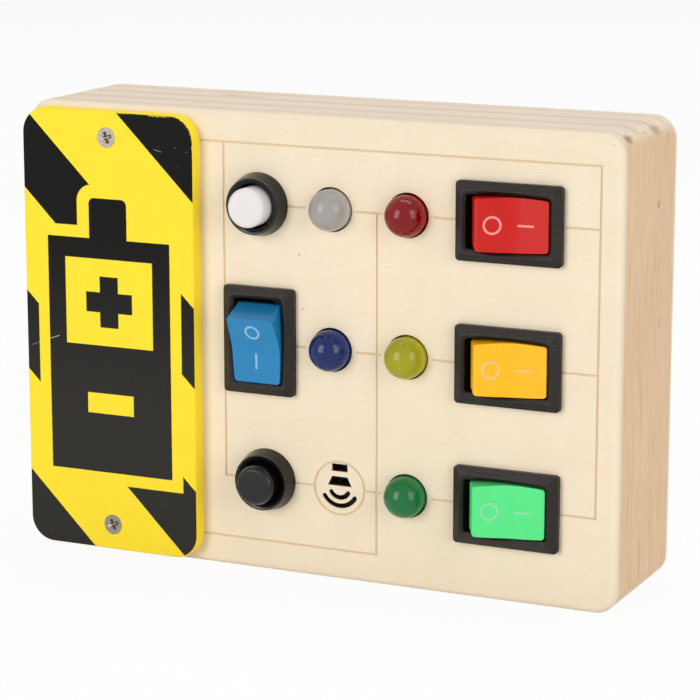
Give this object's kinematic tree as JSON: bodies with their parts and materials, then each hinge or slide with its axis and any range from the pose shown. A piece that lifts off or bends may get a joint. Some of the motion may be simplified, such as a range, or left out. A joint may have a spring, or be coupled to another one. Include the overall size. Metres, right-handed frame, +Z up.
{
  "type": "busy board",
  "caption": "small wooden busy board with coloured rocker switches, push buttons and lamps and a yellow battery cover",
  "frame": {"origin": "middle of the flat bottom face, midway between the front and the back of the wooden case", "axes": "+X to the right seen from the front, +Z up, front faces -Y"},
  "size_m": [0.124, 0.0362, 0.09],
  "materials": {
    "pale_plywood": "smooth sanded birch plywood, oiled",
    "pine": "planed and sanded pine, oiled",
    "yellow_print": "yellow plate with a printed black pattern, worn at one corner",
    "screw_steel": "bright zinc, cross recess",
    "black_moulding": "charcoal nylon, fine satin",
    "red_moulding": "bright red moulding with a pale ring and bar",
    "amber_moulding": "amber moulding with a pale ring and bar",
    "green_moulding": "light green moulding with a pale ring and bar",
    "blue_moulding": "mid blue moulding with a pale ring and bar",
    "white_moulding": "white moulding",
    "grey_lens": "milky diffused lens",
    "red_lens": "dark red diffused lens",
    "blue_lens": "dark blue diffused lens",
    "olive_lens": "yellow-green diffused lens",
    "green_lens": "green diffused lens",
    "contact_metal": "plated brass",
    "spring_steel": "drawn spring wire",
    "cell_jacket": "plain printed steel jacket"
  },
  "bodies": {
    "case": {"front_panel": "pale_plywood", "back_panel": "pale_plywood", "top_rail": "pine", "bottom_rail": "pine", "left_rail": "pine", "right_rail": "pine", "battery_cover": "yellow_print", "battery_cover_screws": "screw_steel", "red_switch_housing": "black_moulding", "red_switch_terminals": "contact_metal", "amber_switch_housing": "black_moulding", "amber_switch_terminals": "contact_metal", "green_switch_housing": "black_moulding", "green_switch_terminals": "contact_metal", "blue_switch_housing": "black_moulding", "blue_switch_terminals": "contact_metal", "white_button_housing": "black_moulding", "white_button_nut": "black_moulding", "white_button_lugs": "contact_metal", "white_button_spring": "spring_steel", "black_button_housing": "black_moulding", "black_button_nut": "black_moulding", "black_button_lugs": "contact_metal", "black_button_spring": "spring_steel", "grey_lamp": "grey_lens", "red_lamp": "red_lens", "blue_lamp": "blue_lens", "olive_lamp": "olive_lens", "green_lamp": "green_lens", "lamp_leads": "screw_steel", "buzzer": "black_moulding", "buzzer_pins": "screw_steel", "battery_holder": "black_moulding", "battery_cell_left": "cell_jacket", "battery_cell_right": "cell_jacket", "battery_contacts": "screw_steel", "battery_springs": "spring_steel"},
    "red_rocker_body": {"red_rocker": "red_moulding", "red_switch_plunger": "contact_metal"},
    "amber_rocker_body": {"amber_rocker": "amber_moulding", "amber_switch_plunger": "contact_metal"},
    "green_rocker_body": {"green_rocker": "green_moulding", "green_switch_plunger": "contact_metal"},
    "blue_rocker_body": {"blue_rocker": "blue_moulding", "blue_switch_plunger": "contact_metal"},
    "red_contact_body": {"red_switch_contact": "contact_metal"},
    "amber_contact_body": {"amber_switch_contact": "contact_metal"},
    "green_contact_body": {"green_switch_contact": "contact_metal"},
    "blue_contact_body": {"blue_switch_contact": "contact_metal"},
    "white_button_body": {"white_button_cap": "white_moulding"},
    "black_button_body": {"black_button_cap": "black_moulding"}
  },
  "joints": [
    {"name": "red_rocker_tilt", "type": "hinge", "parent": "case", "child": "red_rocker_body", "pos_m": [0.0402, -0.0125, 0.0724], "axis": [0, 0, -1], "range_deg": [0, 29]},
    {"name": "amber_rocker_tilt", "type": "hinge", "parent": "case", "child": "amber_rocker_body", "pos_m": [0.0402, -0.0125, 0.0454], "axis": [0, 0, -1], "range_deg": [0, 29]},
    {"name": "green_rocker_tilt", "type": "hinge", "parent": "case", "child": "green_rocker_body", "pos_m": [0.0402, -0.0125, 0.0184], "axis": [0, 0, -1], "range_deg": [0, 29]},
    {"name": "blue_rocker_tilt", "type": "hinge", "parent": "case", "child": "blue_rocker_body", "pos_m": [-0.0111, -0.0125, 0.046], "axis": [-1, 0, 0], "range_deg": [0, 29]},
    {"name": "red_contact_rock", "type": "hinge", "parent": "case", "child": "red_contact_body", "pos_m": [0.0402, -0.00625, 0.0724], "axis": [0, 0, -1], "range_deg": [-16, 0]},
    {"name": "amber_contact_rock", "type": "hinge", "parent": "case", "child": "amber_contact_body", "pos_m": [0.0402, -0.00625, 0.0454], "axis": [0, 0, -1], "range_deg": [-16, 0]},
    {"name": "green_contact_rock", "type": "hinge", "parent": "case", "child": "green_contact_body", "pos_m": [0.0402, -0.00625, 0.0184], "axis": [0, 0, -1], "range_deg": [-16, 0]},
    {"name": "blue_contact_rock", "type": "hinge", "parent": "case", "child": "blue_contact_body", "pos_m": [-0.0111, -0.00625, 0.046], "axis": [-1, 0, 0], "range_deg": [-16, 0]},
    {"name": "white_button_press", "type": "slide", "parent": "case", "child": "white_button_body", "axis": [0, 1, 0], "range_m": [0, 0.002], "stiffness_N_per_m": 600, "springref_m": -0.0015, "deforming": ["white_button_spring"]},
    {"name": "black_button_press", "type": "slide", "parent": "case", "child": "black_button_body", "axis": [0, 1, 0], "range_m": [0, 0.002], "stiffness_N_per_m": 600, "springref_m": -0.0015, "deforming": ["black_button_spring"]}
  ],
  "couplings": [
    {"joint": "red_contact_rock", "follows": "red_rocker_tilt", "ratio": -0.5517},
    {"joint": "amber_contact_rock", "follows": "amber_rocker_tilt", "ratio": -0.5517},
    {"joint": "green_contact_rock", "follows": "green_rocker_tilt", "ratio": -0.5517},
    {"joint": "blue_contact_rock", "follows": "blue_rocker_tilt", "ratio": -0.5517}
  ]
}
